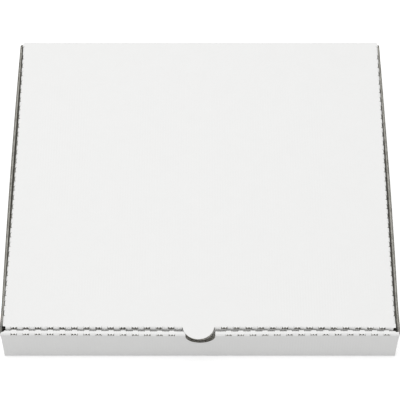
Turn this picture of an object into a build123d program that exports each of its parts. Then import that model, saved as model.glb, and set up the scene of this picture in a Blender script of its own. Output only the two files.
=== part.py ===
from build123d import *
import math
import os

# A pizza box folded from one sheet of fine-fluted corrugated board.
# Millimetres. +Z is up, the front wall faces -Y, and the origin is the middle of the base's underside.

# Board and folds
board = 1.6             # thickness of the corrugated board
fold_inside = 0.3       # inside radius of every fold
layer_gap = 0.15        # play between layers that lie on each other

# Tray, over its outer faces
base_width = 328.6      # across the side walls at the floor
box_depth = 322.0       # front face to back face
wall_height = 34.5      # floor to the top of the rolled front wall
side_flare = 1.9        # how far each side wall leans out at its top
side_bow = 1.05         # how much further its cut edge bows out half way along
front_flare = 0.6       # how much wider the front and back walls are at the top, each side
corner_flap = 72.0      # length of the flaps that the side walls turn round the corners
flap_corner = 7.0       # rounding of the free corners of those flaps
lock_spacing = 170.0    # between the two tabs that lock the rolled front wall into the base
lock_width = 40.0
lock_play = 0.25        # play of each lock tab in its slot
lock_recess = 0.3       # the lock tabs end this far above the floor
notch_radius = 12.9     # thumb notch in the front wall, centred on its top edge

# Lid
lid_rise = 0.4          # lid's top above the top of the front wall
lid_side_gap = 1.0      # between the lid's side folds and the tops of the side walls
lid_front_gap = 0.9     # between the lid's front fold and the rolled front wall
corner_relief = 2.6     # the lid's front corners are cut back by this much between the folds
flap_lean = 3.5         # degrees by which the lid's flaps lean inwards
side_drop = 27.0        # depth of the lid's side flaps
tuck_drop = 27.0        # depth of the tuck flap
flap_taper = 7.0        # the lid's flaps are this much shorter at the bottom, each end
flap_round = 9.0        # rounding of the lower corners of the lid's flaps
hinge_relief = 6.0      # the side flaps stop this far from the back face
hinge_slit = 0.8        # cut between the end of each side flap and the lid's full width at the hinge
tab_radius = 12.4       # thumb tab, cut out of the tuck flap and level with the lid
tab_setback = 1.1       # centre of the tab's arc behind the front fold
tab_shift = -0.4        # the tab lies this far off the middle of the notch
tab_kerf = 0.4          # room round the tab where it was cut out

# Perforated folds: short cuts that open where the board turns
perf_pitch = 10.1
perf_cut = 5.2          # length of each cut
perf_open = 1.1         # how far a cut opens into the board from the corner of the fold
perf_first = 23.3       # first cut from the middle of the front wall, clear of the notch
lid_perf_first = 22.1   # the same on the lid
lid_perf_shift = -2.0   # the lid's row of cuts lies this far off the middle
perf_margin = 9.0       # least distance from the last cut to the end of its fold

# Sizes that follow from these
fold_radius = board + fold_inside
base_half = base_width / 2
half_depth = box_depth / 2
front_stack = 3 * board + 2 * layer_gap
inner_face = -half_depth + front_stack
roll_middle = -half_depth + front_stack / 2
side_half_length = half_depth - board - layer_gap
side_top = wall_height - board - layer_gap
side_rise = side_top - fold_radius
wall_end = side_half_length - 2 * fold_radius
top_half = base_half + side_flare

lid_top = wall_height + lid_rise
lid_half = top_half - board - lid_side_gap
lid_front = inner_face + lid_front_gap
panel_half = lid_half - corner_relief
panel_front = lid_front + 2 * fold_radius
side_flap_front = lid_front + corner_relief
side_flap_back = half_depth - hinge_relief
side_flap_length = side_flap_back - side_flap_front
lean_sine = math.sin(math.radians(flap_lean))
lean_cosine = math.cos(math.radians(flap_lean))

hinge_fold = (half_depth - fold_radius, lid_top - fold_radius)
turn = 90
half_turn = turn / 2

front_cut_count = int((base_half - perf_margin - perf_first) // perf_pitch) + 1
wall_cuts = [
    side * (perf_first + step * perf_pitch) for side in (-1, 1) for step in range(front_cut_count)
]
lid_cuts = [
    lid_perf_shift + side * (lid_perf_first + step * perf_pitch)
    for side in (-1, 1)
    for step in range(front_cut_count)
]
side_cut_count = int((side_flap_length - 2 * perf_margin) // perf_pitch) + 1

# Side wall on the right: its fold at the base, the wall, which is straight at the fold and bowed at its
# cut edge, and the flaps that it turns round both corners. The wall leans outwards, so the flaps keep to
# their planes and only their outer ends slant.
with BuildPart() as side_wall:
    with BuildSketch(Plane.XZ):
        with BuildLine():
            CenterArc((base_half - fold_radius, fold_radius), fold_radius, -turn, turn)
            offset(amount=board, side=Side.LEFT)
        make_face()
    extrude(amount=side_half_length - fold_radius, both=True)
    with BuildSketch(Plane.XY.offset(fold_radius)):
        with Locations((base_half, 0)):
            Rectangle(board, 2 * wall_end, align=(Align.MAX, Align.CENTER))
    with BuildSketch(Plane.XY.offset(side_top)):
        with BuildLine():
            outer = ThreePointArc((top_half, -wall_end), (top_half + side_bow, 0), (top_half, wall_end))
            inner = ThreePointArc(
                (top_half - board, -wall_end),
                (top_half + side_bow - board, 0),
                (top_half - board, wall_end),
            )
            Line(outer @ 0, inner @ 0)
            Line(outer @ 1, inner @ 1)
        make_face()
    loft(ruled=True)
    with BuildSketch(Plane.XY.offset(fold_radius)):
        with BuildLine():
            FilletPolyline(
                (base_half - corner_flap, -side_half_length),
                (base_half, -side_half_length),
                (base_half, -wall_end),
                radius=fold_radius,
            )
            offset(amount=board, side=Side.LEFT)
        make_face()
        mirror(about=Plane.XZ)
    extrude(amount=math.hypot(side_flare, side_rise), dir=(side_flare, 0, side_rise))
    fillet(side_wall.edges().filter_by(Axis.Y).sort_by(Axis.X)[:4], flap_corner)

# Tray: one strip of board runs down the front wall, under the box and up the back to the hinge fold,
# and its front end is rolled over at the top and stands on the base as the inner layer of the wall
with BuildPart() as tray:
    with BuildSketch(Plane.YZ):
        with BuildLine():
            FilletPolyline(
                (roll_middle, wall_height),
                (-half_depth, wall_height),
                (-half_depth, 0),
                (half_depth, 0),
                (half_depth, hinge_fold[1]),
                radius=fold_radius,
            )
            CenterArc(hinge_fold, fold_radius, 0, half_turn)
            offset(amount=board, side=Side.LEFT)
        make_face()
    extrude(amount=base_half + front_flare, both=True)
    with BuildSketch(Plane.YZ):
        with BuildLine():
            FilletPolyline(
                (inner_face, board + layer_gap),
                (inner_face, wall_height),
                (roll_middle, wall_height),
                radius=fold_radius,
            )
            offset(amount=board, side=Side.LEFT)
        make_face()
    extrude(amount=base_half + front_flare, both=True)

    # Front and back walls widen towards the top
    with BuildSketch(Plane.XZ):
        with BuildLine():
            Polyline(
                (-base_half, 0),
                (base_half, 0),
                (base_half + front_flare, lid_top),
                (-base_half - front_flare, lid_top),
                close=True,
            )
        make_face()
    extrude(amount=half_depth, both=True, mode=Mode.INTERSECT)

    # The hinge fold is as wide as the lid
    with BuildSketch(Plane.XY.offset(hinge_fold[1])):
        with Locations((0, half_depth)):
            with GridLocations(2 * top_half, 0, 2, 1):
                Rectangle(2 * (top_half - lid_half), 2 * fold_radius)
    extrude(amount=fold_radius, mode=Mode.SUBTRACT)

    # Room along both sides, where the base turns up into the side walls
    with BuildSketch():
        with GridLocations(2 * base_half, 0, 2, 1):
            Rectangle(2 * fold_radius, 2 * side_half_length)
    extrude(amount=lid_top, mode=Mode.SUBTRACT)
    add(side_wall.part)
    mirror(side_wall.part, about=Plane.YZ)

    # Lock tabs of the rolled front wall, each in a slot of the base
    with BuildSketch():
        with Locations((0, inner_face - board / 2)):
            with GridLocations(lock_spacing, 0, 2, 1):
                Rectangle(lock_width + 2 * lock_play, board + 2 * lock_play)
    extrude(amount=board, mode=Mode.SUBTRACT)
    with BuildSketch(Plane.XY.offset(lock_recess)):
        with Locations((0, inner_face - board / 2)):
            with GridLocations(lock_spacing, 0, 2, 1):
                Rectangle(lock_width, board)
    extrude(amount=board + layer_gap - lock_recess)

    # Thumb notch through all layers of the front wall
    with BuildSketch(Plane.XZ.offset(-inner_face)):
        with Locations((0, wall_height)):
            Circle(notch_radius)
    extrude(amount=front_stack, mode=Mode.SUBTRACT)

    # Perforations along the two top folds of the front wall
    with Locations([(x, y, wall_height) for x in wall_cuts for y in (-half_depth, inner_face)]):
        Box(perf_cut, 2 * perf_open, 2 * perf_open, mode=Mode.SUBTRACT)

# Side flap of the lid on the right, with its fold
with BuildPart() as side_flap:
    with BuildSketch(Plane.XZ.offset(-side_flap_back)):
        with BuildLine():
            FilletPolyline(
                (panel_half, lid_top),
                (lid_half, lid_top),
                (lid_half - side_drop * lean_sine, lid_top - side_drop * lean_cosine),
                radius=fold_radius,
            )
            offset(amount=board, side=Side.RIGHT)
        make_face()
    extrude(amount=side_flap_length)
    with BuildSketch(Plane.YZ) as side_outline:
        with BuildLine():
            Polyline(
                (side_flap_front, lid_top),
                (side_flap_back, lid_top),
                (side_flap_back, lid_top - 2 * fold_radius),
                (side_flap_back - flap_taper, lid_top - side_drop),
                (side_flap_front + flap_taper, lid_top - side_drop),
                (side_flap_front, lid_top - 2 * fold_radius),
                close=True,
            )
        make_face()
        fillet(side_outline.vertices().group_by(Axis.Y)[0], flap_round)
    extrude(amount=lid_half, mode=Mode.INTERSECT)

# Tuck flap at the front of the lid, with its fold and the hole that the thumb tab leaves
with BuildPart() as tuck_flap:
    with BuildSketch(Plane.YZ):
        with BuildLine():
            FilletPolyline(
                (panel_front, lid_top),
                (lid_front, lid_top),
                (lid_front + tuck_drop * lean_sine, lid_top - tuck_drop * lean_cosine),
                radius=fold_radius,
            )
            offset(amount=board, side=Side.LEFT)
        make_face()
    extrude(amount=panel_half, both=True)
    with BuildSketch(Plane.XZ) as tuck_outline:
        with BuildLine():
            Polyline(
                (-panel_half, lid_top),
                (panel_half, lid_top),
                (panel_half, lid_top - 2 * fold_radius),
                (panel_half - flap_taper, lid_top - tuck_drop),
                (-panel_half + flap_taper, lid_top - tuck_drop),
                (-panel_half, lid_top - 2 * fold_radius),
                close=True,
            )
        make_face()
        fillet(tuck_outline.vertices().group_by(Axis.Y)[0], flap_round)
        with Locations((tab_shift, lid_top)):
            Circle(tab_radius + tab_kerf, mode=Mode.SUBTRACT)
    extrude(amount=half_depth, mode=Mode.INTERSECT)

# Lid: panel from its half of the hinge fold to the front fold, then the flaps and the thumb tab
with BuildPart() as lid:
    with BuildSketch(Plane.YZ):
        with BuildLine():
            CenterArc(hinge_fold, fold_radius, half_turn, half_turn)
            Line((hinge_fold[0], lid_top), (panel_front, lid_top))
            offset(amount=board, side=Side.LEFT)
        make_face()
    extrude(amount=panel_half, both=True)
    with BuildSketch(Plane.YZ):
        with BuildLine():
            CenterArc(hinge_fold, fold_radius, half_turn, half_turn)
            Line((hinge_fold[0], lid_top), (side_flap_back + hinge_slit, lid_top))
            offset(amount=board, side=Side.LEFT)
        make_face()
    extrude(amount=lid_half, both=True)
    add(side_flap.part)
    mirror(side_flap.part, about=Plane.YZ)
    add(tuck_flap.part)
    with BuildSketch(Plane.XY.offset(lid_top - board)):
        with Locations((tab_shift, lid_front + tab_setback)):
            Circle(tab_radius)
            Rectangle(2 * tab_radius, panel_front - lid_front, align=(Align.CENTER, Align.MIN))
    extrude(amount=board)

    # Perforations along the front fold and both side folds
    with Locations([(x, lid_front, lid_top) for x in lid_cuts]):
        Box(perf_cut, 2 * perf_open, 2 * perf_open, mode=Mode.SUBTRACT)
    with Locations((0, (side_flap_front + side_flap_back) / 2, lid_top)):
        with GridLocations(2 * lid_half, perf_pitch, 2, side_cut_count):
            Box(2 * perf_open, perf_cut, 2 * perf_open, mode=Mode.SUBTRACT)

os.makedirs("parts", exist_ok=True)
tray.part.label = "tray"
lid.part.label = "lid"
export_step(tray.part, "parts/tray.step")
export_step(lid.part, "parts/lid.step")
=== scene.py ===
import math
import random

import bmesh
import bpy
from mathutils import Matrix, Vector
from mathutils.geometry import delaunay_2d_cdt


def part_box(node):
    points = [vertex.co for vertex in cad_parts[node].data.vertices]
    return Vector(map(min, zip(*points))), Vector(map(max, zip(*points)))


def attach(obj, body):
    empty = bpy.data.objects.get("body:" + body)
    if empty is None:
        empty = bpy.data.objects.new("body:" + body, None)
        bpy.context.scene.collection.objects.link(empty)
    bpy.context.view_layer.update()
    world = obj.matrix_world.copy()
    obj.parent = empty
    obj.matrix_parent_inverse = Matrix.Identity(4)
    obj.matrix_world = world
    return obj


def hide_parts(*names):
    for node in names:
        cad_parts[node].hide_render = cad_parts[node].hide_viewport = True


# A folded pizza box as the sheet that it is made of: two paper liners with a fluted sheet between them.
# Shapes are worked out in millimetres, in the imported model's frame, and scaled to metres at the end.
# Where the two sides differ, a dictionary has the right side's size under 1 and the left's under -1.

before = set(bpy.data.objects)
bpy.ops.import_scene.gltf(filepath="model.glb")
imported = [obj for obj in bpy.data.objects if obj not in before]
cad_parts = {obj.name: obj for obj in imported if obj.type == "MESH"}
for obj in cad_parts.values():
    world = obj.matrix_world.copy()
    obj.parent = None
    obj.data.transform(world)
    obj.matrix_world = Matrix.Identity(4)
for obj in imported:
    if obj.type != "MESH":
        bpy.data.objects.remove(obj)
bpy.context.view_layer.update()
random.seed(7)

MM = 0.001
tray_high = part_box("tray")[1] / MM
lid_low, lid_high = (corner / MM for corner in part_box("lid"))

# Board
BOARD = 1.6
LINER = 0.22            # thickness of each liner
FLUTE_PAPER = 0.2       # thickness of the fluted sheet
FLUTE_PITCH = 2.3
FLUTE_STEPS = 8         # straight pieces to one flute
FLUTE_REACH = BOARD / 2 - LINER - FLUTE_PAPER / 2
FOLD_INSIDE = 0.3       # inside radius of every fold
FOLD = BOARD + FOLD_INSIDE
LAYER_GAP = 0.15        # play between layers that lie on each other

# Tray
HALF_DEPTH = tray_high.y
WALL_HEIGHT = tray_high.z
SIDE_FLARE = 1.7        # how far each side wall leans out at its top
SIDE_BOW = 1.05         # how much further its cut edge bows out half way along
RIGHT_SLACK = 0.6       # the right side wall loses this share of its bow towards the back
RIM_SPREAD = 0.22       # share by which the side walls are thicker at the middle of their cut edges
FRONT_FLARE = 0.9       # how much wider the front and back walls are at the top, each side
FRONT_LEAN = 0.3        # how far the rolled front wall leans out at its top
FRONT_LEAN_RIGHT = 0.65 # and how much further at its right end
FRONT_BOW = 1.0         # how much further it bows out in the middle
STRIP_DIP = 0.3         # how far the strip on its top falls to the front
TOP_HALF = tray_high.x - SIDE_BOW
BASE_HALF = TOP_HALF - SIDE_FLARE
FLOOR_HALF = BASE_HALF - FOLD
FLOOR_DEPTH = HALF_DEPTH - FOLD
FRONT_STACK = 3 * BOARD + 2 * LAYER_GAP
INNER_FACE = FRONT_STACK - HALF_DEPTH
SHOULDER = WALL_HEIGHT - FOLD           # where the top folds of the front wall begin
STRIP_FRONT = BASE_HALF + FRONT_FLARE   # half lengths of the two edges of the strip on top of the wall
STRIP_BACK = FLOOR_HALF
STRIP_FRONT_Y = FOLD - HALF_DEPTH       # where the strip's two folds begin
STRIP_BACK_Y = INNER_FACE - FOLD
STRIP_SPREAD = 0.4      # the strip's right end is cut square and spreads to the back
SIDE_END = HALF_DEPTH - BOARD - LAYER_GAP
SIDE_RUN = SIDE_END - FOLD
SIDE_TOP = WALL_HEIGHT - BOARD - LAYER_GAP
RIM_PHASE = FLUTE_PITCH / 4     # the side walls' top edges cut through a flute, open to the outside
CORNER_FLAP = 72.0      # length of the flaps that the side walls turn round the corners
FLAP_CORNER = 7.0       # rounding of their free corners
CORNER_CRUSH = 2.5      # how far the inner liner is crushed at the front corners
CORNER_SPLAY = 0.9      # how much further the side walls spread at the front corners
CORNER_SPLAY_RUN = 30.0
CORNER_TURN = 0.8       # share of it that is lost again in the turn of the corner
LOCK_MIDDLE = 85.0      # lock tabs of the front wall, and their slots in the base
LOCK_HALF = 20.0
LOCK_PLAY = 0.25
LOCK_RECESS = 0.3
NOTCH_RADIUS = 12.4
NOTCH_HALF = {1: 12.85, -1: 12.0}       # half widths of the thumb notch at the folds
FLOOR_TIES = [(-FLOOR_HALF, FLOOR_HALF)]        # whole stretches of the folds round the base
WALL_TIES = [(-BASE_HALF, -FLOOR_HALF), (-FLOOR_HALF, FLOOR_HALF), (FLOOR_HALF, BASE_HALF)]
SIDE_TIES = [(-SIDE_RUN, SIDE_RUN)]

# Lid
LID_TOP = lid_high.z
LID_SIDE_GAP = 1.0      # between the lid's side folds and the tops of the side walls
LID_FRONT_GAP = 0.7     # between the lid's front fold and the rolled front wall
LID_HALF = TOP_HALF - BOARD - LID_SIDE_GAP
LID_FRONT = INNER_FACE + LID_FRONT_GAP
FLAP_LEAN = math.radians(3.5)
FOLD_SETBACK = FOLD * math.tan(math.radians(45) + FLAP_LEAN / 2)
SIDE_LINE = LID_HALF - FOLD_SETBACK
FRONT_LINE = LID_FRONT + FOLD_SETBACK
CORNER_RELIEF = {1: 2.3, -1: 2.9}       # widths and depths of the cut-outs at the front corners
CORNER_RELIEF_BACK = {1: 0.8, -1: 1.8}
CORNER_ROUND = 1.0
CORNER_LINER = 1.0      # how far the liner reaches past the cut board there
FLAP_START = 4.8        # the side flaps begin this far behind the lid's front edge
FLAP_STOP = 6.0         # and end this far in front of the back wall's outer face
FLAP_FRONT = LID_FRONT + FLAP_START
FLAP_BACK = HALF_DEPTH - FLAP_STOP
FLAP_SLIT = 0.15
FLAP_DEPTH = 27.0       # length of the lid's flaps, from the corner of the fold
FLAP_DROP = FLAP_DEPTH - FOLD_SETBACK
FLAP_TAPER = 7.0
FLAP_ROUND = 9.0
HINGE_DROOP = 0.6       # how far the lid's back corners are cut off
HINGE_HALF = LID_HALF - HINGE_DROOP
HINGE_Z = LID_TOP - FOLD
TAB_SETBACK = 1.3       # middle of the tab's arc behind the lid's front edge, but for tear and trim
TAB_RADIUS = LID_FRONT + TAB_SETBACK - lid_low.y
TAB_SHIFT = 0.15        # the tab lies this far to the right
TAB_TEAR = 0.8          # its outer liner is this much wider and lies as much further to the left
TAB_TRIM = 0.43         # and its board this much narrower, cut back on the left
TAB_KERF = 0.4          # room beside the tab where it was cut out
TAB_KERF_START = 1.5    # the cuts beside the tab begin this far in front of the fold line
LID_SKEW = 0.55         # the lid lies a little askew: to the right at the back, to the left in front
LID_SPREAD_LEFT = 0.6   # its left side spreads towards both ends
LID_WAIST = 0.35        # and is drawn in along the middle
LID_SPREAD_RIGHT = 0.4  # its right side spreads towards the back
LID_FLARE_RIGHT = 0.3   # and a little at the front corner
LID_REACH_RIGHT = 0.8   # which reaches further to the front, by somewhat less than this

# Perforated folds
PITCH = 10.1
CUT = 5.2
WALL_FIRST = {1: 23.9, -1: 23.3}        # first cuts beside the notch
LID_FIRST = {1: 20.9, -1: 23.3}         # and beside the tab
LID_SQUEEZE = 0.07      # the lid's cuts are this much closer on the left
LID_PITCH = {1: PITCH, -1: PITCH - LID_SQUEEZE}
CUTS_A_SIDE = 14
SIDE_CUTS = 29
SIDE_CUTS_SHIFT = 1.3   # the rows along the lid's sides lie this far behind the middle
FRONT_PINCH = 0.35      # how far the ties between the cuts are pressed in
BACK_PINCH = 0.6
LID_PINCH = 0.1
PINCH_RANGE = (0.7, 1.3)        # from tie to tie, as a share
PINCH_AT_ENDS = 0.4     # share of it at the ends of a tie

# Tongues: where a fold is cut, the panels go on past it, to a little short of the fold's corner
STRIP_FRONT_SHORT = 0.9
STRIP_BACK_SHORT = 0.5
WALL_SHORT = 0.8
LID_FRONT_SHORT = 0.75
LID_SIDE_SHORT = 0.95
CORNER_SHORT = {1: 0.2, -1: 0.7}
STRIP_FRONT_LIP = FOLD - STRIP_FRONT_SHORT
STRIP_BACK_LIP = FOLD - STRIP_BACK_SHORT
WALL_LIP = FOLD - WALL_SHORT    # of the outer liner alone
LID_FRONT_LIP = FOLD_SETBACK - LID_FRONT_SHORT
LID_SIDE_LIP = FOLD_SETBACK - LID_SIDE_SHORT
CORNER_LIP = {side: FOLD_SETBACK - short for side, short in CORNER_SHORT.items()}
SIDE_FLAP_LIP = -0.7    # the side flaps stay back from the cuts
STRIP_TOOTH = 0.95      # how much further a tongue reaches where a flute holds up its outer liner
LID_TOOTH = 0.75
LIP_ROUND = 0.9
TOOTH_ROUND = 0.3
TOOTH_SHARPNESS = 0.8

# Fineness
TIE_STEPS = 4
FOLD_STEPS = 7
ROUND_STEPS = 10
LIP_STEPS = 8
TOOTH_STEPS = 26
BOW_STEPS = 24
WELD = 0.0005
FILL_TOLERANCE = 1e-5
SHARP_ANGLE = math.radians(40)

# Paper: its texture is scaled in metres
CLOUD_SCALE = 55
EDGE_CLOUD_SCALE = 120
CLOUD_DETAIL = 6
CLOUD_ROUGHNESS = 0.7
FIBRE_SCALE = 1400
FIBRE_DETAIL = 4
NOISE_MIDDLE = 0.5
NOISE_SPREAD = 0.2
EDGE_CONTRAST = 3
GLOSS_SPREAD = 0.06
GRAIN_STRENGTH = 0.5
FACING_SIDEWAYS = 0.7   # least share of x in the normal of a panel that faces sideways

# Studio, in metres, but the camera's sensor and lens in millimetres
FLOOR_SIZE = 12
FLOOR_Z = -0.0002
FLOOR_TONE = 0.78
FLOOR_ROUGHNESS = 0.9
FLOOR_GLOW = 0.46       # to the camera alone
WORLD_LIGHT = 0.65
WORLD_SEEN = 1.0        # to the camera
LAMP_SIZE = 1.6
LAMP_POWER = 16.75
LAMP_PLACE = (-0.2, 0.25, 2.0)
CAMERA_PLACE = (0.00013, -1.07098, 1.43118)
CAMERA_PITCH = 53.0873  # degrees below the horizon
CAMERA_SENSOR = 36
CAMERA_LENS = 180.39
CAMERA_REACH = 50

RIGHT, BACK, UP = Vector((1, 0, 0)), Vector((0, 1, 0)), Vector((0, 0, 1))
HINGE_MIDDLE = (BACK + UP).normalized()


# Outlines

def ties_between(start, end, cuts=()):
    """The stretches of a fold that are left whole between its cuts."""
    edges = [start]
    for middle in sorted(cuts):
        edges += [middle - CUT / 2, middle + CUT / 2]
    edges.append(end)
    return list(zip(edges[::2], edges[1::2]))


def spread(start, end, steps):
    """Evenly spaced numbers from start to end."""
    return [start + (end - start) * step / steps for step in range(steps + 1)]


def along(ties, lip=0, tooth=0):
    """Outline points along a fold: (place along it, how far the panel goes on past it)."""
    points = []
    for index, (start, end) in enumerate(ties):
        if index and lip and start > ties[index - 1][1]:
            points += tongue(ties[index - 1][1], start, lip, tooth)
        points += [(place, 0) for place in spread(start, end, TIE_STEPS)]
    return points


def tongue(start, end, lip, tooth):
    """Outline points of a panel where its fold is cut: rounded at the ends, any teeth at the flutes."""
    points = []
    rounding = TOOTH_ROUND if tooth else LIP_ROUND
    for place in spread(start, end, TOOTH_STEPS if tooth else LIP_STEPS):
        from_end = min(place - start, end - place, rounding) / rounding
        flute = max(0.0, -math.cos(2 * math.pi * place / FLUTE_PITCH)) ** TOOTH_SHARPNESS
        points.append((place, lip * math.sqrt(1 - (1 - from_end) ** 2) + tooth * from_end * flute))
    return points


def arc(middle, radii, first, last):
    """Points of an ellipse's arc, from one angle in degrees to another."""
    turns = [math.radians(angle) for angle in spread(first, last, ROUND_STEPS)]
    return [(middle[0] + radii[0] * math.cos(a), middle[1] + radii[1] * math.sin(a)) for a in turns]


def rounded(before, corner, after, radius):
    """Points that round a corner off."""
    corner = Vector(corner)
    into = (Vector(before) - corner).normalized()
    out = (Vector(after) - corner).normalized()
    half = into.angle(out) / 2
    middle = corner + (into + out).normalized() * radius / math.sin(half)
    first = corner + into * radius / math.tan(half) - middle
    last = corner + out * radius / math.tan(half) - middle
    return [tuple(middle + first.slerp(last, step)) for step in spread(0, 1, ROUND_STEPS)]


def mirrored(points):
    return [(-x, y) for x, y in reversed(points)]


def loop(points):
    """A closed outline without repeated points."""
    kept = []
    for point in points:
        if not kept or (Vector(point) - Vector(kept[-1])).length > WELD:
            kept.append(point)
    if (Vector(kept[0]) - Vector(kept[-1])).length <= WELD:
        kept.pop()
    return kept


def whole(half, *values):
    """The outline of a panel from half(side), its right half and its left half turned over."""
    return loop(half(1, *values) + mirrored(half(-1, *values)))


def crossings(loops, axis, place):
    """Stretches inside the loops on the line where coordinate axis has that place."""
    other = 1 - axis
    hits = []
    for points in loops:
        for a, b in zip(points, points[1:] + points[:1]):
            if (a[axis] - place) * (b[axis] - place) < 0:
                share = (place - a[axis]) / (b[axis] - a[axis])
                hits.append(a[other] + (b[other] - a[other]) * share)
    hits.sort()
    return list(zip(hits[::2], hits[1::2]))


def inside(loops, point):
    """Whether a point lies inside the loops."""
    return any(low < point[1] < high for low, high in crossings(loops, 0, point[0]))


def face_middle(points, face):
    return sum((points[index] for index in face), Vector((0, 0))) / 3


def fill(loops, extra=()):
    """Triangles that fill the loops, as (points, faces)."""
    points, edges = [], []
    for outline in loops:
        first = len(points)
        count = len(outline)
        points += [Vector(point) for point in outline]
        edges += [(first + step, first + (step + 1) % count) for step in range(count)]
    points += [Vector(point) for point in extra]
    points, _, faces, *_ = delaunay_2d_cdt(points, edges, [], 1, FILL_TOLERANCE)
    if len(loops) > 1:
        faces = [face for face in faces if inside(loops, face_middle(points, face))]
    return points, faces


# The sheet

def add_quads(bm, rows, facing):
    """A grid of faces through rows of points, all turned to one side."""
    rows = [[bm.verts.new(point) for point in row] for row in rows]
    across = rows[0][1].co - rows[0][0].co
    down = rows[1][0].co - rows[0][0].co
    turned = across.cross(down).dot(facing) < 0
    for upper, lower in zip(rows, rows[1:]):
        for step in range(len(upper) - 1):
            corners = [upper[step], upper[step + 1], lower[step + 1], lower[step]]
            bm.faces.new(corners[::-1] if turned else corners)


class Sheet:
    """One stretch of folded board, built up layer by layer from its panels and folds."""

    def __init__(self):
        self.outer = bmesh.new()
        self.inner = bmesh.new()
        self.flutes = bmesh.new()

    def panel(self, place, loops, flutes_on=0, phase=0.0, rows=1, extra=(), outer_loops=None):
        """place(u, v, depth) gives a point of the panel, depth being measured from the outer face.
        flutes_on is the coordinate across the flutes: 0 if they run along v, 1 if they run along u."""
        layers = ((self.outer, 0, -1, outer_loops or loops), (self.inner, BOARD, 1, loops))
        for bm, depth, side, outline in layers:
            points, faces = fill(outline, extra)
            verts = [bm.verts.new(place(*point, depth)) for point in points]
            for face in faces:
                a, b, c = (verts[index] for index in face)
                middle = face_middle(points, face)
                facing = (place(*middle, 1) - place(*middle, 0)) * side
                turned = (b.co - a.co).cross(c.co - a.co).dot(facing) < 0
                bm.faces.new((a, c, b) if turned else (a, b, c))
        self.flute(place, loops, flutes_on, phase, rows)

    def flute(self, place, loops, axis, phase, rows):
        """The fluted sheet of a panel: a wave over coordinate axis, as far as the outline goes."""
        places = [point[axis] for points in loops for point in points]
        start = min(places) + WELD
        end = max(places) - WELD
        steps = math.ceil((end - start) / FLUTE_PITCH * FLUTE_STEPS)
        columns = []
        for across in spread(start, end, steps):
            turn = 2 * math.pi * (across - phase) / FLUTE_PITCH
            depth = BOARD / 2 + FLUTE_REACH * math.cos(turn)
            column = []
            for low, high in crossings(loops, axis, across):
                line = [(across, v) if axis == 0 else (v, across) for v in spread(low, high, rows)]
                column.append([self.flutes.verts.new(place(*point, depth)) for point in line])
            columns.append(column)
        for left, right in zip(columns, columns[1:]):
            if len(left) != len(right):
                continue
            for here, there in zip(left, right):
                for step in range(rows):
                    corners = (here[step], there[step], there[step + 1], here[step + 1])
                    self.flutes.faces.new(corners)

    def fold(self, axis, first, last, ties, pinch=0.0):
        """A turn of the board about axis(place), between the outer normals first and last."""
        for start, end in ties:
            stations = spread(start, end, TIE_STEPS)
            draw = pinch * random.uniform(*PINCH_RANGE)
            layers = ((self.outer, FOLD, 1, draw), (self.inner, FOLD_INSIDE, -1, 0))
            for bm, radius, side, depth in layers:
                rows = []
                for turn in spread(0, 1, FOLD_STEPS):
                    row = []
                    for place in stations:
                        middle = 1 - abs(2 * (place - start) / (end - start) - 1) ** 2
                        share = PINCH_AT_ENDS + (1 - PINCH_AT_ENDS) * middle
                        reach = radius - depth * share * math.sin(math.pi * turn)
                        row.append(axis(place) + first.slerp(last, turn) * reach)
                    rows.append(row)
                add_quads(bm, rows, (first + last) * side)

    def crease(self, axis, ties, facing):
        """The inner liner goes on along the middle of the hinge fold, out to the outer liner."""
        for start, end in ties:
            stations = spread(start, end, TIE_STEPS)
            rows = [
                [axis(place) + HINGE_MIDDLE * reach for place in stations]
                for reach in (FOLD_INSIDE, FOLD - LINER)
            ]
            add_quads(self.inner, rows, facing)


def hinge_axis(x):
    return Vector((x, HALF_DEPTH - FOLD, HINGE_Z))


# Unevenness of a box folded by hand

def bowed_wall(side, y, z, depth):
    """How far out a point of a side wall is: straight along its fold and bowed out along its top."""
    bow = max(0.0, 1 - (y / (SIDE_END - 2 * FOLD)) ** 2)
    if side > 0:
        bow *= 1 - RIGHT_SLACK * max(0.0, y / SIDE_END)
    rise = (z - FOLD) / (SIDE_TOP - FOLD)
    outer_face = BASE_HALF + rise * (SIDE_FLARE + SIDE_BOW * bow)
    return outer_face - depth * (1 + RIM_SPREAD * bow * rise ** 4)


def bow_front(bm):
    """The rolled front wall stands straight on the base, leans out and bows in the middle of its top.
    The strip on its top falls to the front."""
    for vert in bm.verts:
        if vert.co.y < INNER_FACE + WELD:
            to_front = min(1.0, max(0.0, (INNER_FACE - FOLD - vert.co.y) / (FRONT_STACK - FOLD)))
            to_top = max(0.0, (vert.co.z - SHOULDER) / FOLD)
            vert.co.z -= STRIP_DIP * to_front * to_top
            along_wall = max(0.0, 1 - (vert.co.x / BASE_HALF) ** 2) ** 3
            to_right = max(0.0, vert.co.x / BASE_HALF)
            lean = FRONT_LEAN + FRONT_LEAN_RIGHT * to_right ** 3 + FRONT_BOW * along_wall
            vert.co.y -= lean * (vert.co.z / WALL_HEIGHT) ** 2


def crush_corners(bm):
    """The inner liner is crushed where the side walls turn round the front corners."""
    for vert in bm.verts:
        if abs(vert.co.x) > FLOOR_HALF - WELD and -SIDE_END < vert.co.y < WELD - SIDE_RUN:
            vert.co.z -= CORNER_CRUSH * max(0.0, (vert.co.z - FOLD) / (SIDE_TOP - FOLD)) ** 4


def splay_corners(bm):
    """The side walls spread at the front corners, where they turn round into their flaps."""
    for vert in bm.verts:
        x, y, z = vert.co
        from_end = y + SIDE_RUN
        in_wall = abs(x) > FLOOR_HALF + LAYER_GAP and z < SIDE_TOP + WELD
        if in_wall and -SIDE_END - WELD < y and from_end < CORNER_SPLAY_RUN:
            near = 1 - max(0.0, from_end) / CORNER_SPLAY_RUN
            rise = max(0.0, (z - FOLD) / (SIDE_TOP - FOLD))
            turn = 1 + CORNER_TURN * min(0.0, from_end) / FOLD
            vert.co.x += math.copysign(CORNER_SPLAY * near ** 2 * rise ** 2 * turn, x)


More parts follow.
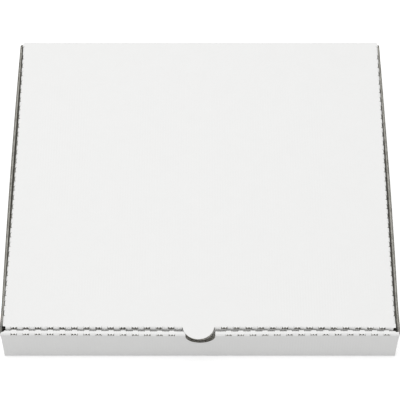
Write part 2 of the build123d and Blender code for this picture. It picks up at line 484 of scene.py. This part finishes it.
def lean_back_wall(bm):
    """The back wall leans with the lid that it carries."""
    for vert in bm.verts:
        if vert.co.y > SIDE_END:
            vert.co.x += LID_SKEW * vert.co.z / LID_TOP


def settle_lid(bm):
    """The lid lies a little askew on the box."""
    for vert in bm.verts:
        across = vert.co.x / LID_HALF
        back = vert.co.y / HALF_DEPTH
        right = LID_SPREAD_RIGHT * (1 - (1 - max(0.0, back)) ** 2)
        right += LID_FLARE_RIGHT * max(0.0, -back) ** 6
        left = LID_WAIST * max(0.0, 1 - back ** 2) ** 3 - LID_SPREAD_LEFT * back ** 2
        vert.co.x += LID_SKEW * back + right * max(0.0, across) + left * max(0.0, -across)
        vert.co.y -= LID_REACH_RIGHT * (max(0.0, across) * max(0.0, -back)) ** 6


# Tray

def wall_half(z):
    """Half width of the front and back walls."""
    return BASE_HALF + FRONT_FLARE * z / LID_TOP


def top_ties(side, end):
    """Stretches of a fold on top of the front wall, from the notch to the end of the fold."""
    cuts = [WALL_FIRST[side] + step * PITCH for step in range(CUTS_A_SIDE)]
    return ties_between(NOTCH_HALF[side], end, cuts)


def notch(side):
    return arc((0, SHOULDER), (NOTCH_HALF[side], NOTCH_RADIUS - FOLD), 0, -90)


def add_base(sheet):
    """The base, with the two slots that hold the front wall's lock tabs."""
    edge = [(x, -FLOOR_DEPTH) for x, _ in along(FLOOR_TIES)]
    edge += [(FLOOR_HALF, y) for y, _ in along(SIDE_TIES)]
    low = INNER_FACE - BOARD - LOCK_PLAY
    high = INNER_FACE + LOCK_PLAY
    slots = []
    for middle in (-LOCK_MIDDLE, LOCK_MIDDLE):
        left = middle - (LOCK_HALF + LOCK_PLAY)
        right = middle + (LOCK_HALF + LOCK_PLAY)
        slots.append([(left, low), (right, low), (right, high), (left, high)])
    base = loop(edge + [(-x, -y) for x, y in edge])
    sheet.panel(lambda x, y, depth: Vector((x, y, depth)), [base] + slots)


def add_front_wall(sheet):
    """The rolled front wall: its outer and inner layers and the strip between its perforated folds."""
    grid = [
        (x, z)
        for x in spread(-STRIP_BACK, STRIP_BACK, BOW_STEPS)[1:-1]
        for z in spread(2 * FOLD, WALL_HEIGHT - NOTCH_RADIUS - FOLD, TIE_STEPS)
    ]

    def outer_half(side, lip):
        half = [(x, FOLD) for x, _ in along(WALL_TIES) if x >= 0]
        half += [(wall_half(SHOULDER), SHOULDER - FOLD)]
        half += [(x, SHOULDER + past) for x, past in reversed(along(top_ties(side, STRIP_FRONT), lip))]
        return half + notch(side)

    sheet.panel(
        lambda x, z, depth: Vector((x, depth - HALF_DEPTH, z)),
        [whole(outer_half, 0)], extra=grid, outer_loops=[whole(outer_half, WALL_LIP)],
    )

    def inner_half(side):
        bottom = BOARD + LAYER_GAP
        lock = (LOCK_MIDDLE - LOCK_HALF, LOCK_MIDDLE + LOCK_HALF)
        half = [(0, bottom), (lock[0], bottom), (lock[0], LOCK_RECESS)]
        half += [(lock[1], LOCK_RECESS), (lock[1], bottom)]
        half += [(FLOOR_HALF, bottom), (FLOOR_HALF, SHOULDER - FOLD)]
        half += [(x, SHOULDER) for x, _ in reversed(along(top_ties(side, STRIP_BACK)))]
        return half + notch(side)

    sheet.panel(lambda x, z, depth: Vector((x, INNER_FACE - depth, z)), [whole(inner_half)], extra=grid)

    for side in (-1, 1):
        front = top_ties(side, STRIP_FRONT)
        back = top_ties(side, STRIP_BACK)
        strip = [(x, STRIP_FRONT_Y - lip) for x, lip in along(front, STRIP_FRONT_LIP, STRIP_TOOTH)]
        if side > 0:
            free_y = STRIP_BACK_Y - LAYER_GAP
            strip += [(STRIP_FRONT + STRIP_SPREAD, free_y), (STRIP_BACK + LAYER_GAP, free_y)]
        strip += [(x, STRIP_BACK_Y + lip) for x, lip in reversed(along(back, STRIP_BACK_LIP))]
        sheet.panel(lambda x, y, depth: Vector((side * x, y, WALL_HEIGHT - depth)), [loop(strip)])
        sheet.fold(
            lambda x: Vector((side * x, STRIP_FRONT_Y, SHOULDER)), -BACK, UP, front, FRONT_PINCH,
        )
        sheet.fold(
            lambda x: Vector((side * x, STRIP_BACK_Y, SHOULDER)), UP, BACK, back, BACK_PINCH,
        )


def add_back_wall(sheet):
    """The back wall and its half of the hinge fold."""
    hinge_ties = [(-HINGE_HALF - LID_SPREAD_LEFT, HINGE_HALF + LID_SPREAD_RIGHT)]
    half = [(x, FOLD) for x, _ in along(WALL_TIES) if x >= 0]
    half += [(wall_half(HINGE_Z), HINGE_Z - 2 * FOLD)]
    half += [(x, HINGE_Z) for x, _ in reversed(along(hinge_ties)) if x >= 0]
    sheet.panel(lambda x, z, depth: Vector((x, HALF_DEPTH - depth, z)), [loop(half + mirrored(half))])
    sheet.fold(hinge_axis, BACK, HINGE_MIDDLE, hinge_ties)
    sheet.crease(hinge_axis, hinge_ties, UP - BACK)


def add_base_folds(sheet):
    """The folds from the base to the front wall and the back wall."""
    for end in (-1, 1):
        sheet.fold(lambda x: Vector((x, end * FLOOR_DEPTH, FOLD)), -UP, end * BACK, WALL_TIES)


def add_side_wall(sheet, side):
    """A side wall, with the flaps that it turns round the corners."""
    heights = spread(FOLD, SIDE_TOP, TIE_STEPS)
    sheet.fold(lambda y: Vector((side * FLOOR_HALF, y, FOLD)), -UP, side * RIGHT, SIDE_TIES)
    wall = [(y, FOLD) for y, _ in along(SIDE_TIES)]
    wall += [(SIDE_RUN, z) for z in heights]
    wall += [(y, SIDE_TOP) for y in spread(SIDE_RUN, -SIDE_RUN, BOW_STEPS)]
    wall += [(-SIDE_RUN, z) for z in reversed(heights)]
    grid = [(y, z) for y in spread(-SIDE_RUN, SIDE_RUN, BOW_STEPS)[1:-1] for z in heights[1:-1]]
    sheet.panel(
        lambda y, z, depth: Vector((side * bowed_wall(side, y, z, depth), y, z)),
        [loop(wall)], flutes_on=1, phase=SIDE_TOP - RIM_PHASE, rows=BOW_STEPS, extra=grid,
    )

    def lean(z):
        return SIDE_FLARE * (z - FOLD) / (SIDE_TOP - FOLD)

    free = BASE_HALF - CORNER_FLAP
    flap = [(FLOOR_HALF, z) for z in heights]
    flap += rounded((FLOOR_HALF, SIDE_TOP), (free, SIDE_TOP), (free, FOLD), FLAP_CORNER)
    flap += rounded((free, SIDE_TOP), (free, FOLD), (FLOOR_HALF, FOLD), FLAP_CORNER)
    for end in (-1, 1):
        sheet.fold(
            lambda z: Vector((side * (FLOOR_HALF + lean(z)), end * SIDE_RUN, z)),
            side * RIGHT, end * BACK, [(FOLD, SIDE_TOP)],
        )
        sheet.panel(
            lambda x, z, depth: Vector((side * (x + lean(z)), end * (SIDE_END - depth), z)),
            [loop(flap)], flutes_on=1,
        )


def build_tray():
    sheet = Sheet()
    add_base(sheet)
    add_front_wall(sheet)
    add_back_wall(sheet)
    add_base_folds(sheet)
    for side in (-1, 1):
        add_side_wall(sheet, side)
    crush_corners(sheet.inner)
    for layer in (sheet.outer, sheet.inner, sheet.flutes):
        splay_corners(layer)
        bow_front(layer)
        lean_back_wall(layer)
    return sheet


# Lid

def front_end(side):
    """Where the lid's front fold ends, at the cut-out of its corner."""
    return LID_HALF - CORNER_RELIEF[side]


def front_ties(side):
    """Stretches of the lid's front fold, from the tab to the corner."""
    cuts = [LID_FIRST[side] + step * LID_PITCH[side] for step in range(CUTS_A_SIDE)]
    beside_tab = side * (TAB_SHIFT - TAB_TEAR) + TAB_RADIUS + TAB_TEAR + TAB_KERF
    return ties_between(beside_tab, front_end(side), cuts)


def side_ties():
    """Stretches of the folds along the lid's sides."""
    middle = (LID_FRONT + FLAP_BACK) / 2 + SIDE_CUTS_SHIFT
    cuts = [middle + (step - (SIDE_CUTS - 1) / 2) * PITCH for step in range(SIDE_CUTS)]
    return ties_between(FLAP_FRONT, FLAP_BACK, cuts)


def hanging(axis, away):
    """The outer normal of a flap that hangs from a fold and leans in, and its places:
    place(along the fold, distance below it, depth)."""
    normal = away * math.cos(FLAP_LEAN) - UP * math.sin(FLAP_LEAN)
    down = -away * math.sin(FLAP_LEAN) - UP * math.cos(FLAP_LEAN)
    return normal, lambda u, v, depth: axis(u) + normal * (FOLD - depth) + down * v


def add_lid_panel(sheet):
    """The lid's panel with the thumb tab, and its half of the hinge fold."""
    hinge_ties = [(-HINGE_HALF, HINGE_HALF)]

    def half(side, cut_back, tear):
        """cut_back is how far this layer is cut back at the front corner, and tear how much wider
        its tab is."""
        corner = LID_FRONT + CORNER_RELIEF_BACK[side] + cut_back
        corner_middle = (front_end(side) + CORNER_ROUND, corner - CORNER_ROUND)
        ties = front_ties(side)
        radius = TAB_RADIUS + tear
        tab = (side * (TAB_SHIFT - tear), lid_low.y + radius)
        cut_start = FRONT_LINE - TAB_KERF_START
        points = [(x, HALF_DEPTH - FOLD) for x, _ in along(hinge_ties) if x >= 0]
        points += [(LID_HALF, HALF_DEPTH - FOLD - HINGE_DROOP), (LID_HALF, FLAP_BACK + FLAP_SLIT)]
        points += [(SIDE_LINE, FLAP_BACK + FLAP_SLIT)]
        points += [(SIDE_LINE + lip, y) for y, lip in reversed(along(side_ties(), LID_SIDE_LIP))]
        points += [(SIDE_LINE, FLAP_FRONT - FLAP_SLIT)]
        points += [(SIDE_LINE + CORNER_LIP[side], y) for y in (FLAP_FRONT - FLAP_SLIT, corner)]
        points += arc(corner_middle, (CORNER_ROUND, CORNER_ROUND), 90, 180)
        front = along(ties, LID_FRONT_LIP, LID_TOOTH)
        points += [(x, FRONT_LINE - lip) for x, lip in reversed(front)]
        points += [(ties[0][0], cut_start)]
        first = math.degrees(math.asin((cut_start - tab[1]) / radius))
        return points + arc(tab, (radius, radius), first, -90)

    board = whole(half, CORNER_LINER, -TAB_TRIM)
    liner = whole(half, 0, TAB_TEAR)
    sheet.panel(lambda x, y, depth: Vector((x, y, LID_TOP - depth)), [board], outer_loops=[liner])
    sheet.fold(hinge_axis, HINGE_MIDDLE, UP, hinge_ties)
    sheet.crease(hinge_axis, hinge_ties, BACK - UP)


def add_side_flap(sheet, side):
    """A flap of the lid that hangs inside a side wall."""
    def axis(y):
        return Vector((side * SIDE_LINE, y, LID_TOP - FOLD))

    normal, place = hanging(axis, side * RIGHT)
    ties = side_ties()
    sheet.fold(axis, UP, normal, ties, LID_PINCH)
    back = FLAP_BACK - FLAP_TAPER
    front = FLAP_FRONT + FLAP_TAPER
    flap = [(y, -lip) for y, lip in along(ties, SIDE_FLAP_LIP)]
    flap += rounded((FLAP_BACK, FOLD), (back, FLAP_DROP), (front, FLAP_DROP), FLAP_ROUND)
    flap += rounded((back, FLAP_DROP), (front, FLAP_DROP), (FLAP_FRONT, FOLD), FLAP_ROUND)
    flap += [(FLAP_FRONT, FOLD)]
    sheet.panel(place, [loop(flap)], flutes_on=1)


def add_tuck_flap(sheet):
    """The flap that tucks in behind the front wall, with the hole that the tab leaves."""
    def axis(x):
        return Vector((x, FRONT_LINE, LID_TOP - FOLD))

    def half(side):
        hole = TAB_RADIUS + TAB_KERF
        top = front_end(side)
        end = top - FLAP_TAPER
        points = arc((side * TAB_SHIFT, 0), (hole, hole - FOLD_SETBACK), 90, 0)
        points += [(x, 0) for x, _ in along(front_ties(side))]
        points += [(top, FOLD)]
        return points + rounded((top, FOLD), (end, FLAP_DROP), (0, FLAP_DROP), FLAP_ROUND)

    normal, place = hanging(axis, -BACK)
    sheet.panel(place, [whole(half)])
    for side in (-1, 1):
        sheet.fold(lambda x: axis(side * x), UP, normal, front_ties(side), LID_PINCH)


def build_lid():
    sheet = Sheet()
    add_lid_panel(sheet)
    for side in (-1, 1):
        add_side_flap(sheet, side)
    add_tuck_flap(sheet)
    for layer in (sheet.outer, sheet.inner, sheet.flutes):
        settle_lid(layer)
    return sheet


# Pieces

def shell(bm, name, thickness, offset, materials):
    """A closed mesh of paper, in metres, from the faces of one layer."""
    bmesh.ops.remove_doubles(bm, verts=bm.verts, dist=WELD)
    bmesh.ops.scale(bm, vec=(MM, MM, MM), verts=bm.verts)
    mesh = bpy.data.meshes.new(name)
    bm.to_mesh(mesh)
    bm.free()
    for material in materials:
        mesh.materials.append(material)
    piece = bpy.data.objects.new(name, mesh)
    bpy.context.scene.collection.objects.link(piece)
    solid = piece.modifiers.new("paper", "SOLIDIFY")
    solid.thickness = thickness * MM
    solid.offset = offset
    solid.material_offset = len(materials) - 1
    solid.material_offset_rim = len(materials) - 1
    ready = piece.evaluated_get(bpy.context.evaluated_depsgraph_get())
    piece.data = bpy.data.meshes.new_from_object(ready)
    piece.data.name = name
    piece.modifiers.clear()
    piece.data.shade_smooth()
    piece.data.set_sharp_from_angle(angle=SHARP_ANGLE)
    weighted = piece.modifiers.new("flat_panels", "WEIGHTED_NORMAL")
    weighted.keep_sharp = True
    return piece


# Materials

def new_material(name):
    material = bpy.data.materials.new(name)
    material.use_nodes = True
    nodes = material.node_tree.nodes
    return material, nodes, material.node_tree.links, nodes["Principled BSDF"]


def add_math(nodes, operation, second=None):
    node = nodes.new("ShaderNodeMath")
    node.operation = operation
    if second is not None:
        node.inputs[1].default_value = second
    return node


def add_noise(nodes, links, where, scale, detail):
    noise = nodes.new("ShaderNodeTexNoise")
    noise.inputs["Scale"].default_value = scale
    noise.inputs["Detail"].default_value = detail
    links.new(where.outputs["Object"], noise.inputs["Vector"])
    return noise


def add_bump(nodes, links, height, strength, distance):
    bump = nodes.new("ShaderNodeBump")
    bump.inputs["Strength"].default_value = strength
    bump.inputs["Distance"].default_value = distance * MM
    links.new(height, bump.inputs["Height"])
    return bump


def paper(
    name, dark, light, roughness, fleck, fibre_height,
    flute_height=0, contrast=1, blotches=CLOUD_SCALE,
):
    """Paper with faint cloud, small fibres and, where it lies over flutes, a trace of their ridges."""
    material, nodes, links, shader = new_material(name)
    where = nodes.new("ShaderNodeTexCoord")
    cloud = add_noise(nodes, links, where, blotches, CLOUD_DETAIL)
    cloud.inputs["Roughness"].default_value = CLOUD_ROUGHNESS
    fibres = add_noise(nodes, links, where, FIBRE_SCALE, FIBRE_DETAIL)

    mix = add_math(nodes, "MULTIPLY_ADD", fleck)
    links.new(fibres.outputs["Fac"], mix.inputs[0])
    links.new(cloud.outputs["Fac"], mix.inputs[2])
    tone = nodes.new("ShaderNodeValToRGB")
    middle = NOISE_MIDDLE + fleck / 2
    reach = (NOISE_SPREAD + fleck / 2) / contrast
    stops = ((middle - reach, dark), (middle + reach, light))
    for element, (position, colour) in zip(tone.color_ramp.elements, stops):
        element.position = position
        element.color = (*colour, 1)
    links.new(mix.outputs["Value"], tone.inputs["Fac"])
    links.new(tone.outputs["Color"], shader.inputs["Base Color"])

    gloss = nodes.new("ShaderNodeMapRange")
    gloss.inputs["To Min"].default_value = roughness - GLOSS_SPREAD
    gloss.inputs["To Max"].default_value = roughness + GLOSS_SPREAD
    links.new(cloud.outputs["Fac"], gloss.inputs["Value"])
    links.new(gloss.outputs["Result"], shader.inputs["Roughness"])

    grain = add_bump(nodes, links, fibres.outputs["Fac"], GRAIN_STRENGTH, fibre_height)
    links.new(grain.outputs["Normal"], shader.inputs["Normal"])
    if flute_height:
        ridges = add_bump(nodes, links, flute_wave(nodes, links, where), 1, flute_height)
        links.new(ridges.outputs["Normal"], grain.inputs["Normal"])
    return material


def flute_wave(nodes, links, where):
    """A wave across the flutes: over x, or over z on the walls and flaps that face sideways."""
    place = nodes.new("ShaderNodeSeparateXYZ")
    links.new(where.outputs["Object"], place.inputs["Vector"])
    facing = nodes.new("ShaderNodeSeparateXYZ")
    links.new(where.outputs["Normal"], facing.inputs["Vector"])
    sideways = add_math(nodes, "ABSOLUTE")
    links.new(facing.outputs["X"], sideways.inputs[0])
    step = add_math(nodes, "GREATER_THAN", FACING_SIDEWAYS)
    links.new(sideways.outputs["Value"], step.inputs[0])
    choose = nodes.new("ShaderNodeMix")
    links.new(step.outputs["Value"], choose.inputs["Factor"])
    links.new(place.outputs["X"], choose.inputs["A"])
    links.new(place.outputs["Z"], choose.inputs["B"])
    turns = add_math(nodes, "MULTIPLY", 2 * math.pi / (FLUTE_PITCH * MM))
    links.new(choose.outputs["Result"], turns.inputs[0])
    wave = add_math(nodes, "COSINE")
    links.new(turns.outputs["Value"], wave.inputs[0])
    return wave.outputs["Value"]


# Studio

def build_floor():
    """A pale floor that glows a little to the camera alone and keeps the box's shadow."""
    bpy.ops.mesh.primitive_plane_add(size=FLOOR_SIZE, location=(0, 0, FLOOR_Z))
    floor = bpy.context.object
    floor.name = "floor"
    material, nodes, links, shader = new_material("floor")
    shader.inputs["Base Color"].default_value = (FLOOR_TONE, FLOOR_TONE, FLOOR_TONE, 1)
    shader.inputs["Roughness"].default_value = FLOOR_ROUGHNESS
    shader.inputs["Specular IOR Level"].default_value = 0
    glow = nodes.new("ShaderNodeEmission")
    rays = nodes.new("ShaderNodeLightPath")
    seen = add_math(nodes, "MULTIPLY", FLOOR_GLOW)
    links.new(rays.outputs["Is Camera Ray"], seen.inputs[0])
    links.new(seen.outputs["Value"], glow.inputs["Strength"])
    both = nodes.new("ShaderNodeAddShader")
    links.new(shader.outputs["BSDF"], both.inputs[0])
    links.new(glow.outputs["Emission"], both.inputs[1])
    links.new(both.outputs["Shader"], nodes["Material Output"].inputs["Surface"])
    floor.data.materials.append(material)


def build_light():
    """A white room, and a soft lamp overhead that looks at the box."""
    world = bpy.data.worlds.new("studio")
    bpy.context.scene.world = world
    world.use_nodes = True
    nodes, links = world.node_tree.nodes, world.node_tree.links
    rays = nodes.new("ShaderNodeLightPath")
    level = nodes.new("ShaderNodeMapRange")
    level.inputs["To Min"].default_value = WORLD_LIGHT
    level.inputs["To Max"].default_value = WORLD_SEEN
    links.new(rays.outputs["Is Camera Ray"], level.inputs["Value"])
    links.new(level.outputs["Result"], nodes["Background"].inputs["Strength"])
    nodes["Background"].inputs["Color"].default_value = (1, 1, 1, 1)

    lamp = bpy.data.lights.new("overhead", "AREA")
    lamp.shape = "SQUARE"
    lamp.size = LAMP_SIZE
    lamp.energy = LAMP_POWER
    overhead = bpy.data.objects.new("overhead", lamp)
    overhead.location = LAMP_PLACE
    overhead.rotation_euler = (-overhead.location).to_track_quat("-Z", "Y").to_euler()
    bpy.context.scene.collection.objects.link(overhead)


def build_camera():
    camera = bpy.data.cameras.new("camera")
    camera.sensor_width = CAMERA_SENSOR
    camera.lens = CAMERA_LENS
    camera.clip_end = CAMERA_REACH
    view = bpy.data.objects.new("camera", camera)
    view.location = CAMERA_PLACE
    view.rotation_euler = (math.radians(90 - CAMERA_PITCH), 0, 0)
    bpy.context.scene.collection.objects.link(view)
    bpy.context.scene.camera = view


white_liner = paper(
    "white_liner", dark=(0.86, 0.86, 0.853), light=(0.882, 0.882, 0.875),
    roughness=0.6, fleck=0.25, fibre_height=0.012, flute_height=0.008,
)
inner_liner = paper(
    "inner_liner", dark=(0.54, 0.525, 0.475), light=(0.63, 0.615, 0.56),
    roughness=0.75, fleck=0.5, fibre_height=0.02, flute_height=0.012,
)
cut_edge = paper(
    "cut_edge", dark=(0.46, 0.45, 0.41), light=(0.76, 0.75, 0.71),
    roughness=0.85, fleck=0.8, fibre_height=0.03, contrast=EDGE_CONTRAST, blotches=EDGE_CLOUD_SCALE,
)
fluting = paper(
    "fluting", dark=(0.24, 0.23, 0.2), light=(0.5, 0.49, 0.45),
    roughness=0.85, fleck=0.8, fibre_height=0.03, contrast=EDGE_CONTRAST, blotches=EDGE_CLOUD_SCALE,
)

for body, sheet in (("tray", build_tray()), ("lid", build_lid())):
    layers = (
        ("outer_liner", sheet.outer, LINER, -1, (white_liner, cut_edge), "white_board"),
        ("inner_liner", sheet.inner, LINER, -1, (inner_liner, cut_edge), "white_board"),
        ("fluting", sheet.flutes, FLUTE_PAPER, 0, (fluting,), "raw_board"),
    )
    for layer, bm, thickness, offset, materials, slot in layers:
        piece = shell(bm, f"{body}_{layer}", thickness, offset, materials)
        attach(piece, body)
        if layer == "outer_liner":
            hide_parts(body)

build_floor()
build_light()
build_camera()
bpy.context.scene.view_settings.view_transform = "Standard"
